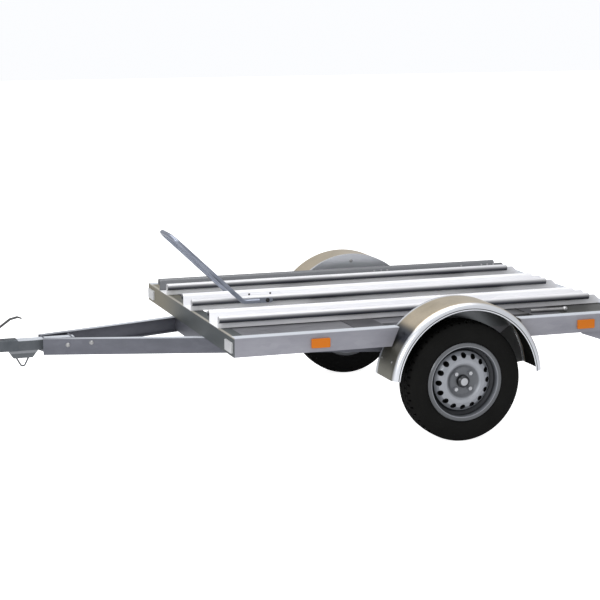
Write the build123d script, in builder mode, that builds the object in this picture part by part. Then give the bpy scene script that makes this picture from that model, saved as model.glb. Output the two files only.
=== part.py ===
"""Motorcycle trailer with three wheel channels, a front-wheel hoop and a V drawbar.

Millimetres. +X points forward to the coupling, +Y to the trailer's left, +Z up.
The origin is on the ground, below the middle of the trailer's whole length and width.
"""
import os
from math import atan2, cos, hypot, radians, sin, sqrt

from build123d import *

os.makedirs("parts", exist_ok=True)

# Road wheels
TYRE_R = 281.0
TYRE_WIDTH = 146.0
TYRE_BEAD_R = 168.0
BEAD_GAP = 0.3
RIM_FLANGE_R = 183.5
RIM_WIDTH = 130.0
RIM_WELL_R = 143.0
WHEEL_OFFSET = 30.0
DISC_WALL = 5.0
VENT_COUNT = 16
VENT_RING_R = 121.0
VENT_R = 10.5
LUG_COUNT = 4
LUG_PCD = 100.0
LUG_HOLE_R = 7.0
CENTRE_BORE_R = 30.0
WHEEL_INSET = 3.0

# Deck frame
FRAME_FRONT = 1085.0
FRAME_REAR = -905.0
FRAME_WIDTH = 1486.0
FRAME_TOP = 547.0
SIDE_HEIGHT = 87.0
FRAME_WALL = 3.0
SIDE_FLANGE = 50.0
FRONT_FLANGE = 56.0
WIDE_BEAM = 150.0
WIDE_BEAM_X = 348.0
INNER_FLANGE = 35.0
DECK_WALL = 2.0
DECK_LAP = 16.0

# Wheel channels
CHANNEL_Y = 441.0
CHANNEL_WIDTH = 193.0
CHANNEL_HEIGHT = 58.0
CHANNEL_WALL = 2.5
CHANNEL_EDGE = 33.0
CHANNEL_EDGE_R = 15.0
CHANNEL_HEM_R = 12.0
SKIRT_LIFT = 26.0
HEM_WIDTH = 16.0
CHANNEL_AHEAD = 3.0
EDGE_SHORT = 130.0
FLOOR_SHORT = 40.0
NOSE_RUN = 62.0

# Front-wheel hoop
HOOP_TUBE_R = 11.0
HOOP_TOP_X = 1188.0
HOOP_TOP_Z = 912.0
HOOP_FOOT_X = 840.0
HOOP_FOOT_Z = 583.0
HOOP_FOOT_LENGTH = 150.0
HOOP_FOOT_HEIGHT = 24.0
HOOP_FOOT_WALL = 6.0
HOOP_CORNER_R = 55.0
HOOP_BEND_R = 40.0

# Mudguards
GUARD_R = 377.0
GUARD_LIP = 36.0
GUARD_WIDTH = 205.0
GUARD_WALL = 2.0
GUARD_SHOULDER_R = 32.0
GUARD_START = 6.0
GUARD_OUTSET = 106.0
GUARD_CHEEK_BOTTOM = 497.0
STAY_X = (-415.0, -592.0)
STAY_Y = (626.0, 634.0)
STAY_R = 8.0
STAY_KNOB_R = 13.0
RAIL_TOP_GAP = 26.0
RAIL_BOTTOM_GAP = 6.0

# Drawbar
BEAM_HEIGHT = 75.0
BEAM_FLANGE = 32.0
BEAM_WALL = 4.0
BEAM_FRONT = 1795.0
BEAM_FRONT_Y = 60.0
BEAM_CROSS_Y = 274.0
BEAM_DROP = 3.0
BEAM_REAR = 80.0
TIE_X = 1068.0
WELD_GAP = 0.9
YOKE_WALL = 8.0
YOKE_X = (1650.0, 1779.0)
SHANK_SIZE = 50.0
SHANK_WALL = 4.0
SHANK_REAR = 1640.0
SHANK_FRONT = 1985.0
SHANK_Z = 427.0
REST_TOP = (1951.0, 1809.0)
REST_BOTTOM = (1927.0, 1838.0)
REST_DEPTH = 36.0
REST_WIDTH = 40.0
REST_WALL = 3.0
WIRE_R = 4.0
WIRE_TIP_Z = 312.0
WIRE_TIP_X = 1881.0
WIRE_SPAN = 60.0

# Coupling head
BALL_X = 2066.0
BALL_Z = 420.0
BALL_R = 25.0
BALL_GAP = 0.5
HEAD_R = 36.0
HEAD_REAR = 1905.0
HEAD_WALL = 4.0
HEAD_SKIRT = 18.0
HEAD_EDGE_R = 9.0
LEVER_WIDTH = 30.0
LEVER_WALL = 5.0

# Axle
AXLE_X = 132.0
AXLE_Z = 345.0
AXLE_SIZE = 60.0
AXLE_WALL = 4.0
ARM_INSET = 165.0
BRACKET_LENGTH = 120.0
BRACKET_WIDTH = 90.0
BRACKET_WALL = 6.0
ARM_WALL = 20.0
ARM_R = 30.0
SPINDLE_R = 17.5
SPINDLE_BASE_R = 27.0
PLATE_GAP = 8.0
RUN_GAP = 0.3

# Hubs
HUB_R = 42.0
HUB_FLANGE_R = 65.0
HUB_FLANGE = 12.0
HUB_INSET = 68.0
HUB_NOSE_R = 28.0
HUB_NOSE = 26.0
HUB_NOSE_WALL = 4.0
DRUM_R = 108.0
DRUM_WALL = 8.0
DRUM_DEPTH = 50.0
BRAKE_PLATE_R = 132.0
BRAKE_PLATE_WALL = 4.0
BOLT_R = 6.0
BOLT_HEAD_R = 9.5
BOLT_HEAD = 12.0

# Jockey wheel
JOCKEY_X = 2030.0
JOCKEY_Y = -92.0
JOCKEY_TUBE_R = 24.0
JOCKEY_TUBE_WALL = 2.5
JOCKEY_TUBE_BOTTOM = 372.0
JOCKEY_TUBE_TOP = 700.0
JOCKEY_LEG_WALL = 3.0
JOCKEY_LEG_TOP = 530.0
JOCKEY_SLIDE_GAP = 0.5
JOCKEY_TRAIL = 38.0
JOCKEY_R = 80.0
JOCKEY_WIDTH = 40.0
JOCKEY_BEAD_R = 48.0
JOCKEY_FORK_WALL = 5.0
JOCKEY_FORK_GAP = 6.0
JOCKEY_FORK_TOP = 192.0
JOCKEY_PIN_R = 8.0
JOCKEY_KING_R = 10.0
CLAMP_WALL = 7.0
CLAMP_HEIGHT = 44.0
CLAMP_PLATE = 8.0
CLAMP_REACH = 96.0
CRANK_R = 7.0

# Lamps and reflectors
LAMP_BAR_TOP = 505.0
LAMP_BAR_BOTTOM = 365.0
LAMP_BAR_WALL = 3.0
LAMP_BAR_HALF = 715.0
GUSSET_LENGTH = 265.0
GUSSET_TOE = 12.0
LAMP_DEPTH = 42.0
LAMP_WIDTH = 205.0
LAMP_HEIGHT = 96.0
LAMP_Y = 600.0
LAMP_Z = 420.0
PLATE_WIDTH = 520.0
PLATE_HEIGHT = 112.0
PLATE_WALL = 3.0
TRIANGLE_SIDE = 150.0
TRIANGLE_Y = 375.0
TRIANGLE_WALL = 7.0
REFLECTOR_WALL = 8.0
REFLECTOR_LENGTH = 88.0
REFLECTOR_HEIGHT = 42.0
REFLECTOR_X = (682.0, -644.0)
REFLECTOR_Z = 500.0
FRONT_REFLECTOR_WIDTH = 100.0
FRONT_REFLECTOR_HEIGHT = 48.0
FRONT_REFLECTOR_Y = 675.0

# Lengths X run from the axle's wheel centres. The origin is at the middle of the whole length.
FOREMOST = JOCKEY_X + JOCKEY_TRAIL + JOCKEY_R
REARMOST = FRAME_REAR - LAMP_BAR_WALL - LAMP_DEPTH
MIDDLE_X = (FOREMOST + REARMOST) / 2
SIDE_BOTTOM = FRAME_TOP - SIDE_HEIGHT
HALF_WIDTH = FRAME_WIDTH / 2
HUB_Y = HALF_WIDTH - WHEEL_INSET
SIDES = (("left", 1), ("right", -1))


def save(builder, name):
    """Label a finished piece, move it to the part's own origin and write it under its node name."""
    builder.part.label = name
    builder.part.move(Location((-MIDDLE_X, 0, 0)))
    export_step(builder.part, f"parts/{name}.step")


def c_section(flange, height, wall):
    """A C section: the back of its web on X zero, its flanges toward +X, centred in Y."""
    with BuildSketch() as section:
        Rectangle(flange, height, align=(Align.MIN, Align.CENTER))
        with Locations((wall, 0)):
            Rectangle(flange, height - 2 * wall, align=(Align.MIN, Align.CENTER), mode=Mode.SUBTRACT)
    return section.sketch


CHANNEL_FRONT = FRAME_FRONT + CHANNEL_AHEAD
CHANNEL_EDGE_REAR = FRAME_REAR + EDGE_SHORT
CHANNEL_REAR = FRAME_REAR + FLOOR_SHORT
GUARD_OUTER_Y = HUB_Y + GUARD_OUTSET
INNER_RAIL_Y = GUARD_OUTER_Y - GUARD_WIDTH
WIDE_BEAM_REAR_X = -WIDE_BEAM_X - 50.0


def guard_cut_x(height, gap):
    """Distance from the wheel centre to the mudguard's outline at a height."""
    return sqrt((GUARD_R + gap) ** 2 - (height - TYRE_R) ** 2)


# Side rails: folded C sections, cut off along the mudguards
for side, sign in SIDES:
    web_plane = Plane(
        origin=(0, sign * HALF_WIDTH, SIDE_BOTTOM + SIDE_HEIGHT / 2),
        x_dir=(0, -sign, 0), z_dir=(-1, 0, 0),
    )
    for place, ends, cut_sign in (
        ("front", (FRAME_FRONT - FRAME_WALL, 200.0), 1),
        ("rear", (-200.0, FRAME_REAR + FRAME_WALL), -1),
    ):
        top_x = cut_sign * guard_cut_x(FRAME_TOP, RAIL_TOP_GAP)
        bottom_x = cut_sign * guard_cut_x(SIDE_BOTTOM, RAIL_BOTTOM_GAP)
        with BuildPart() as rail:
            with BuildSketch(web_plane.offset(-ends[0])):
                add(c_section(SIDE_FLANGE, SIDE_HEIGHT, FRAME_WALL))
            extrude(amount=ends[0] - ends[1])
            with BuildSketch(Plane.XZ):
                with BuildLine():
                    Polyline(
                        (0, SIDE_BOTTOM - 1), (bottom_x, SIDE_BOTTOM - 1), (bottom_x, SIDE_BOTTOM),
                        (top_x, FRAME_TOP), (top_x, FRAME_TOP + 1), (0, FRAME_TOP + 1), close=True,
                    )
                make_face()
            extrude(amount=HALF_WIDTH + 1, both=True, mode=Mode.SUBTRACT)
        save(rail, f"side_rail_{place}_{side}")

# Front and rear crossmembers: the web runs to the corners, the flanges stop at the side rails
INNER_HALF = HALF_WIDTH - SIDE_FLANGE
for place, web_x, inward in (("front", FRAME_FRONT, -1), ("rear", FRAME_REAR, 1)):
    with BuildPart() as crossmember:
        with BuildSketch(Plane.XZ):
            with Locations((web_x + inward * FRAME_WALL / 2, SIDE_BOTTOM + SIDE_HEIGHT / 2)):
                Rectangle(FRAME_WALL, SIDE_HEIGHT)
        extrude(amount=HALF_WIDTH, both=True)
        with BuildSketch(Plane.XZ):
            for level in (SIDE_BOTTOM + FRAME_WALL / 2, FRAME_TOP - FRAME_WALL / 2):
                with Locations((web_x + inward * FRONT_FLANGE / 2, level)):
                    Rectangle(FRONT_FLANGE, FRAME_WALL)
        extrude(amount=INNER_HALF, both=True)
    save(crossmember, f"{place}_crossmember")

# Wide hat beams ahead of and behind the wheels
for place, near_x, outward in (("front", WIDE_BEAM_X, 1), ("rear", WIDE_BEAM_REAR_X, -1)):
    mid_x = near_x + outward * WIDE_BEAM / 2
    with BuildPart() as wide_beam:
        with BuildSketch(Plane.XZ):
            with Locations((mid_x, SIDE_BOTTOM + SIDE_HEIGHT / 2)):
                Rectangle(WIDE_BEAM, SIDE_HEIGHT)
            with Locations((mid_x, SIDE_BOTTOM + SIDE_HEIGHT / 2 - FRAME_WALL)):
                Rectangle(WIDE_BEAM - 2 * FRAME_WALL, SIDE_HEIGHT, mode=Mode.SUBTRACT)
        extrude(amount=INNER_HALF, both=True)
    save(wide_beam, f"wide_beam_{place}")

# Inner rails beside the wheels, from one wide beam to the other
with BuildPart() as inner_rails:
    for side, sign in SIDES:
        plane = Plane(
            origin=(WIDE_BEAM_X, sign * INNER_RAIL_Y, SIDE_BOTTOM + SIDE_HEIGHT / 2),
            x_dir=(0, -sign, 0), z_dir=(-1, 0, 0),
        )
        with BuildSketch(plane):
            add(c_section(INNER_FLANGE, SIDE_HEIGHT, FRAME_WALL))
        extrude(amount=WIDE_BEAM_X - WIDE_BEAM_REAR_X)
save(inner_rails, "inner_rails")

# Deck sheets between the outer channels and the side rails, let in under the flanges
DECK_INNER_Y = CHANNEL_Y - CHANNEL_WIDTH / 2 + 20
DECK_OUTER_Y = HALF_WIDTH - SIDE_FLANGE + DECK_LAP
with BuildPart() as deck:
    with BuildSketch(Plane.XY.offset(FRAME_TOP - FRAME_WALL - DECK_WALL)):
        for side, sign in SIDES:
            for front, rear, outer_y in (
                (FRAME_FRONT - FRONT_FLANGE + DECK_LAP, WIDE_BEAM_X + WIDE_BEAM, DECK_OUTER_Y),
                (WIDE_BEAM_X, WIDE_BEAM_REAR_X, INNER_RAIL_Y - INNER_FLANGE + DECK_LAP),
                (WIDE_BEAM_REAR_X - WIDE_BEAM, FRAME_REAR + FRONT_FLANGE - DECK_LAP, DECK_OUTER_Y),
            ):
                with Locations(((front + rear) / 2, sign * (DECK_INNER_Y + outer_y) / 2)):
                    Rectangle(front - rear, outer_y - DECK_INNER_Y)
    extrude(amount=DECK_WALL)
save(deck, "deck_sheets")

# Wheel channels: a floor with two walls whose tops fold out and down as a round edge
INNER_WALL_Y = CHANNEL_WIDTH / 2 - CHANNEL_EDGE
CHANNEL_TOP = FRAME_TOP + CHANNEL_HEIGHT
UP = (Align.CENTER, Align.MIN)


def edge_humps(inset):
    """The two folded edges of a channel as filled shapes, drawn in by an inset all round."""
    with BuildSketch() as humps:
        with Locations((CHANNEL_WIDTH / 2 - CHANNEL_EDGE + inset, SKIRT_LIFT + inset)):
            Rectangle(CHANNEL_EDGE - 2 * inset, CHANNEL_HEIGHT - SKIRT_LIFT - 2 * inset,
                      align=(Align.MIN, Align.MIN))
        fillet(humps.vertices().group_by(Axis.Y)[-1], CHANNEL_EDGE_R - inset)
        fillet(humps.vertices().sort_by(Axis.Y)[:2].sort_by(Axis.X)[-1], CHANNEL_HEM_R - inset)
        mirror(about=Plane.YZ)
    return humps.sketch


for name, centre in (("left", CHANNEL_Y), ("centre", 0.0), ("right", -CHANNEL_Y)):
    section_plane = Plane(origin=(CHANNEL_FRONT, centre, FRAME_TOP), x_dir=(0, -1, 0), z_dir=(-1, 0, 0))
    with BuildPart() as channel:
        with BuildSketch(section_plane):
            add(edge_humps(0.0))
            add(edge_humps(CHANNEL_WALL), mode=Mode.SUBTRACT)
            for edge in (1, -1):
                with Locations((edge * (INNER_WALL_Y + CHANNEL_WALL + HEM_WIDTH / 2), SKIRT_LIFT)):
                    Rectangle(HEM_WIDTH, 2 * CHANNEL_WALL, mode=Mode.SUBTRACT)
                with Locations((edge * (INNER_WALL_Y + CHANNEL_WALL / 2), 0)):
                    Rectangle(CHANNEL_WALL, SKIRT_LIFT + 2 * CHANNEL_WALL, align=UP)
            Rectangle(2 * (INNER_WALL_Y + CHANNEL_WALL), CHANNEL_WALL, align=UP)
        extrude(amount=CHANNEL_FRONT - CHANNEL_EDGE_REAR)
        with BuildSketch(section_plane.offset(CHANNEL_FRONT - CHANNEL_EDGE_REAR)):
            Rectangle(2 * (INNER_WALL_Y + CHANNEL_WALL), CHANNEL_HEIGHT - CHANNEL_EDGE_R, align=UP)
            with Locations((0, CHANNEL_WALL)):
                Rectangle(2 * INNER_WALL_Y, CHANNEL_HEIGHT, align=UP, mode=Mode.SUBTRACT)
        extrude(amount=CHANNEL_EDGE_REAR - CHANNEL_REAR)
        with BuildSketch(Plane.XZ.offset(-centre)):
            with BuildLine():
                Polyline(
                    (CHANNEL_REAR + NOSE_RUN, CHANNEL_TOP), (CHANNEL_REAR, FRAME_TOP + CHANNEL_WALL),
                    (CHANNEL_REAR - 1, CHANNEL_TOP), close=True,
                )
            make_face()
        extrude(amount=CHANNEL_WIDTH, both=True, mode=Mode.SUBTRACT)
    save(channel, f"wheel_channel_{name}")

# Front-wheel hoop: one bent tube with flattened feet bolted to the centre channel's sides
HOOP_Y = CHANNEL_WIDTH / 2 + HOOP_TUBE_R
with BuildPart() as hoop:
    with BuildLine() as hoop_path:
        FilletPolyline(
            (HOOP_FOOT_X - 2 * HOOP_BEND_R, HOOP_Y, HOOP_FOOT_Z), (HOOP_FOOT_X, HOOP_Y, HOOP_FOOT_Z),
            (HOOP_TOP_X, HOOP_Y, HOOP_TOP_Z), (HOOP_TOP_X, -HOOP_Y, HOOP_TOP_Z),
            (HOOP_FOOT_X, -HOOP_Y, HOOP_FOOT_Z), (HOOP_FOOT_X - 2 * HOOP_BEND_R, -HOOP_Y, HOOP_FOOT_Z),
            radius=[HOOP_BEND_R, HOOP_CORNER_R, HOOP_CORNER_R, HOOP_BEND_R],
        )
    with BuildSketch(Plane(origin=hoop_path.line @ 0, z_dir=hoop_path.line % 0)):
        Circle(HOOP_TUBE_R)
    sweep()
    for side, sign in SIDES:
        with BuildSketch(Plane.XZ.offset(-sign * CHANNEL_WIDTH / 2)):
            with Locations((HOOP_FOOT_X - HOOP_FOOT_LENGTH / 2, HOOP_FOOT_Z)):
                RectangleRounded(HOOP_FOOT_LENGTH, HOOP_FOOT_HEIGHT, HOOP_FOOT_HEIGHT / 2 - 1)
        extrude(amount=-sign * HOOP_FOOT_WALL)
save(hoop, "wheel_hoop")

# Mudguards: a rolled sheet with an outer lip, and an inner cheek bolted to the inner rail
start = radians(GUARD_START)
for side, sign in SIDES:
    section_plane = Plane(
        origin=(0, 0, TYRE_R), x_dir=(0, sign, 0), z_dir=(sign * sin(start), 0, -sign * cos(start)),
    )
    with BuildPart() as guard:
        with BuildSketch(section_plane):
            for inset, radius, mode in (
                (0, GUARD_SHOULDER_R, Mode.ADD),
                (GUARD_WALL, GUARD_SHOULDER_R - GUARD_WALL, Mode.SUBTRACT),
            ):
                with BuildSketch(mode=mode) as sheet:
                    with Locations((GUARD_OUTER_Y - inset, GUARD_R - inset)):
                        Rectangle(GUARD_WIDTH - inset, GUARD_LIP - inset, align=(Align.MAX, Align.MAX))
                    fillet(sheet.vertices().sort_by(Axis.X).group_by(Axis.Y)[-1].sort_by(Axis.X)[-1], radius)
        revolve(axis=Axis((0, 0, TYRE_R), (0, -1, 0)), revolution_arc=180 - 2 * GUARD_START)
        with BuildSketch(Plane.XZ.offset(-sign * INNER_RAIL_Y)):
            with Locations((0, TYRE_R)):
                Circle(GUARD_R - GUARD_WALL / 2)
            with Locations((0, GUARD_CHEEK_BOTTOM)):
                Rectangle(3 * GUARD_R, 3 * GUARD_R, align=(Align.CENTER, Align.MAX), mode=Mode.SUBTRACT)
        extrude(amount=-sign * GUARD_WALL)
    save(guard, f"mudguard_{side}")

# Guard stays: a short tube along each mudguard's rear end, lying on the rear wide beam, with a knob
with BuildPart() as stays:
    for side, sign in SIDES:
        end = (STAY_X[1], sign * STAY_Y[1], FRAME_TOP + STAY_R)
        with BuildLine() as stay_line:
            Line((STAY_X[0], sign * STAY_Y[0], FRAME_TOP + STAY_R), end)
        with BuildSketch(Plane(origin=stay_line.line @ 0, z_dir=stay_line.line % 0)):
            Circle(STAY_R)
        sweep()
        with Locations(end):
            Sphere(STAY_KNOB_R)
    split(bisect_by=Plane.XY.offset(FRAME_TOP), keep=Keep.TOP)
save(stays, "guard_stays")

# Drawbar: two C beams in a V that run on below the deck to the axle
BEAM_Z = SIDE_BOTTOM - BEAM_HEIGHT / 2
PLAN_SLOPE = (BEAM_CROSS_Y - BEAM_FRONT_Y) / (BEAM_FRONT - FRAME_FRONT)
PLAN_ANGLE = atan2(BEAM_CROSS_Y - BEAM_FRONT_Y, BEAM_FRONT - FRAME_FRONT)


def beam_y(x):
    """Outer face of the beams' webs, from the centre line, at a length x."""
    return BEAM_CROSS_Y + (FRAME_FRONT - x) * PLAN_SLOPE


def beam_z(x):
    """Middle of the beams' height at a length x."""
    ahead = max(0.0, x - FRAME_FRONT)
    return BEAM_Z - BEAM_DROP * ahead / (BEAM_FRONT - FRAME_FRONT)


for side, sign in SIDES:
    stations = [Vector(x, sign * beam_y(x), beam_z(x)) for x in (BEAM_FRONT, FRAME_FRONT, BEAM_REAR)]
    along = (stations[1] - stations[0]).normalized()
    inward = along.cross(Vector(0, 0, 1)) * -sign
    with BuildPart() as beam:
        with BuildLine():
            Polyline(*stations)
        with BuildSketch(Plane(origin=stations[0], x_dir=inward, z_dir=along)):
            add(c_section(BEAM_FLANGE, BEAM_HEIGHT, BEAM_WALL))
        sweep(transition=Transition.RIGHT)
    save(beam, f"drawbar_beam_{side}")


def between_webs(x):
    """Clear width between the beams' webs at a length x."""
    return 2 * (beam_y(x) - BEAM_WALL / cos(PLAN_ANGLE))


# Tie plate between the beams below the front crossmember, and the yoke that holds the shank
INSIDE_HEIGHT = BEAM_HEIGHT - 2 * BEAM_WALL - WELD_GAP
with BuildPart() as tie:
    with BuildSketch(Plane.YZ.offset(TIE_X)):
        with Locations((0, BEAM_Z)):
            Rectangle(between_webs(TIE_X + BEAM_WALL), INSIDE_HEIGHT)
    extrude(amount=BEAM_WALL)
save(tie, "drawbar_tie")

with BuildPart() as yoke:
    for x in YOKE_X:
        with BuildSketch(Plane.YZ.offset(x)):
            with Locations((0, beam_z(x))):
                Rectangle(between_webs(x + YOKE_WALL), INSIDE_HEIGHT)
            with Locations((0, SHANK_Z)):
                Rectangle(SHANK_SIZE, SHANK_SIZE, mode=Mode.SUBTRACT)
        extrude(amount=YOKE_WALL)
save(yoke, "drawbar_yoke")

with BuildPart() as shank:
    with BuildSketch(Plane.YZ.offset(SHANK_REAR)):
        with Locations((0, SHANK_Z)):
            Rectangle(SHANK_SIZE, SHANK_SIZE)
            Rectangle(SHANK_SIZE - 2 * SHANK_WALL, SHANK_SIZE - 2 * SHANK_WALL, mode=Mode.SUBTRACT)
    extrude(amount=SHANK_FRONT - SHANK_REAR)
save(shank, "coupling_shank")

# Coupling head: a pressed housing over the shank, with the ball's socket at its front
HEAD_TOP = SHANK_Z + SHANK_SIZE / 2 + HEAD_WALL
HEAD_BOTTOM = BALL_Z - HEAD_SKIRT
with BuildPart() as head:
    with BuildSketch(Plane.XY.offset(HEAD_BOTTOM)):
        with Locations(((HEAD_REAR + BALL_X) / 2, 0)):
            Rectangle(BALL_X - HEAD_REAR, SHANK_SIZE + 2 * HEAD_WALL)
        with Locations((BALL_X, 0)):
            Circle(HEAD_R)
    extrude(amount=HEAD_TOP - HEAD_BOTTOM)
    fillet(head.faces().sort_by(Axis.Z)[-1].edges(), HEAD_EDGE_R)
    with Locations(((HEAD_REAR + SHANK_FRONT) / 2, 0, SHANK_Z - SHANK_SIZE)):
        Box(SHANK_FRONT - HEAD_REAR, SHANK_SIZE, 3 * SHANK_SIZE, mode=Mode.SUBTRACT,
            align=(Align.CENTER, Align.CENTER, Align.MAX))
    with Locations(((HEAD_REAR + SHANK_FRONT) / 2, 0, SHANK_Z)):
        Box(SHANK_FRONT - HEAD_REAR, SHANK_SIZE, SHANK_SIZE, mode=Mode.SUBTRACT)
    with Locations((BALL_X, 0, BALL_Z)):
        Sphere(BALL_R + BALL_GAP, mode=Mode.SUBTRACT)
        Cylinder(BALL_R + BALL_GAP, 2 * HEAD_SKIRT, mode=Mode.SUBTRACT,
                 align=(Align.CENTER, Align.CENTER, Align.MAX))
save(head, "coupling_head")

# Coupling lever: a bent strip that rises back over the head
LEVER_LINE = ((2046, HEAD_TOP), (2034, 478), (1990, 510), (1935, 549), (1900, 557), (1882, 550))
with BuildPart() as lever:
    with BuildLine() as lever_path:
        Polyline(*((x, 0, z) for x, z in LEVER_LINE))
    with BuildSketch(Plane(origin=lever_path.line @ 0, x_dir=(0, 1, 0), z_dir=(0, 0, 1))):
        Rectangle(LEVER_WIDTH, LEVER_WALL)
    sweep(transition=Transition.RIGHT)
save(lever, "coupling_lever")

# Rest bracket below the shank, with its bent wire
with BuildPart() as rest:
    shank_bottom = SHANK_Z - SHANK_SIZE / 2
    with BuildSketch(Plane.XZ):
        with BuildLine():
            Polyline(
                (REST_TOP[0], shank_bottom), (REST_BOTTOM[0], shank_bottom - REST_DEPTH),
                (REST_BOTTOM[1], shank_bottom - REST_DEPTH), (REST_TOP[1], shank_bottom), close=True,
            )
        make_face()
    extrude(amount=REST_WIDTH / 2, both=True)
    offset(amount=-REST_WALL, openings=rest.faces().sort_by(Axis.Z)[-1], mode=Mode.REPLACE)
    middle = (REST_BOTTOM[0] + REST_BOTTOM[1]) / 2
    with BuildLine() as wire_path:
        FilletPolyline(
            (middle + WIRE_SPAN / 2, 0, shank_bottom - REST_DEPTH + REST_WALL / 2),
            (WIRE_TIP_X, 0, WIRE_TIP_Z),
            (middle - WIRE_SPAN / 2, 0, shank_bottom - REST_DEPTH + REST_WALL / 2),
            radius=3 * WIRE_R,
        )
    with BuildSketch(Plane(origin=wire_path.line @ 0, z_dir=wire_path.line % 0)):
        Circle(WIRE_R)
    sweep()
save(rest, "drawbar_rest")

# Axle: a square tube below the beams, two saddles, and a trailing arm with a spindle at each end
AXLE_TOP = AXLE_Z + AXLE_SIZE / 2
BEAM_BOTTOM = SIDE_BOTTOM - BEAM_HEIGHT
ARM_Y = HUB_Y - ARM_INSET
with BuildPart() as axle:
    with BuildSketch(Plane.XZ):
        with Locations((AXLE_X, AXLE_Z)):
            RectangleRounded(AXLE_SIZE, AXLE_SIZE, 2 * AXLE_WALL)
            RectangleRounded(AXLE_SIZE - 2 * AXLE_WALL, AXLE_SIZE - 2 * AXLE_WALL, AXLE_WALL,
                             mode=Mode.SUBTRACT)
    extrude(amount=ARM_Y, both=True)
save(axle, "axle_beam")

SADDLE_Y = beam_y(AXLE_X) - BRACKET_WIDTH / 2 + BEAM_WALL
with BuildPart() as saddles:
    for side, sign in SIDES:
        with BuildSketch(Plane.XZ.offset(-sign * (SADDLE_Y - BRACKET_WIDTH / 2))):
            with Locations((AXLE_X, (AXLE_TOP + BEAM_BOTTOM) / 2)):
                Rectangle(BRACKET_LENGTH, BEAM_BOTTOM - AXLE_TOP)
            with Locations((AXLE_X, AXLE_Z)):
                Rectangle(AXLE_SIZE + 2 * BRACKET_WALL, AXLE_SIZE, mode=Mode.ADD)
                Rectangle(AXLE_SIZE, AXLE_SIZE, mode=Mode.SUBTRACT)
        extrude(amount=-sign * BRACKET_WIDTH)
save(saddles, "axle_saddles")

# The brake plate sits on the spindle's base, just behind the drum
PLATE_Y = HUB_Y + WHEEL_OFFSET - HUB_INSET - PLATE_GAP - BRAKE_PLATE_WALL
ARM_LENGTH = hypot(AXLE_X, AXLE_Z - TYRE_R)
for side, sign in SIDES:
    arm_plane = Plane(origin=(0, sign * ARM_Y, TYRE_R), x_dir=(AXLE_X, 0, AXLE_Z - TYRE_R),
                      z_dir=(0, sign, 0))
    with BuildPart() as arm:
        with BuildSketch(arm_plane):
            with Locations((ARM_LENGTH / 2, 0)):
                SlotCenterToCenter(ARM_LENGTH, 2 * ARM_R)
        extrude(amount=ARM_WALL)
        with BuildSketch(arm_plane.offset(ARM_WALL)):
            Circle(SPINDLE_BASE_R)
        extrude(amount=PLATE_Y - ARM_Y - ARM_WALL)
        with BuildSketch(arm_plane.offset(ARM_WALL)):
            Circle(SPINDLE_R)
        extrude(amount=HUB_Y + WHEEL_OFFSET + HUB_NOSE / 2 - ARM_Y - ARM_WALL)
    save(arm, f"axle_arm_{side}")
    with BuildPart() as brake_plate:
        with BuildSketch(Plane(origin=(0, sign * PLATE_Y, TYRE_R), x_dir=(1, 0, 0), z_dir=(0, sign, 0))):
            Circle(BRAKE_PLATE_R)
            Circle(SPINDLE_R, mode=Mode.SUBTRACT)
        extrude(amount=BRAKE_PLATE_WALL)
    save(brake_plate, f"brake_plate_{side}")

# Road wheels. Sections are (across, radius); across runs outboard from the wheel's middle.
TYRE_HALF = TYRE_WIDTH / 2
TYRE_OUTLINE = (
    (-58, TYRE_BEAD_R + BEAD_GAP), (-58, RIM_FLANGE_R + BEAD_GAP), (-TYRE_HALF, 222), (-TYRE_HALF + 3, 248),
    (-60, TYRE_R - 9), (-50, TYRE_R - 2), (0, TYRE_R), (50, TYRE_R - 2), (60, TYRE_R - 9),
    (TYRE_HALF - 3, 248), (TYRE_HALF, 222), (58, RIM_FLANGE_R + BEAD_GAP), (58, TYRE_BEAD_R + BEAD_GAP),
    (44, TYRE_BEAD_R + BEAD_GAP), (61, 222), (52, 262), (-52, 262), (-61, 222), (-44, TYRE_BEAD_R + BEAD_GAP),
)
BARREL_OUTLINE = (
    (-65, 180), (-62, RIM_FLANGE_R), (-59, RIM_FLANGE_R), (-58.5, TYRE_BEAD_R), (-38, 165),
    (-30, RIM_WELL_R + 4), (14, RIM_WELL_R + 4), (24, 165), (58.5, TYRE_BEAD_R), (59, RIM_FLANGE_R),
    (62, RIM_FLANGE_R), (65, 180), (63, TYRE_BEAD_R - 4), (27, 160), (17, RIM_WELL_R), (-33, RIM_WELL_R),
    (-41, 160), (-63, TYRE_BEAD_R - 4),
)
DISC_OUTLINE = (
    (WHEEL_OFFSET, CENTRE_BORE_R), (WHEEL_OFFSET, 70), (44, 88), (44, 100), (36, 122), (16, RIM_WELL_R - 5),
    (-8, RIM_WELL_R - 5), (-8, RIM_WELL_R), (16, RIM_WELL_R), (22, RIM_WELL_R), (42, 122), (50, 102),
    (50, 86), (37, 66), (WHEEL_OFFSET + DISC_WALL, 60), (WHEEL_OFFSET + DISC_WALL, CENTRE_BORE_R),
)
HUB_BACK = WHEEL_OFFSET - HUB_INSET
DRUM_FRONT = HUB_BACK + DRUM_DEPTH
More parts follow.
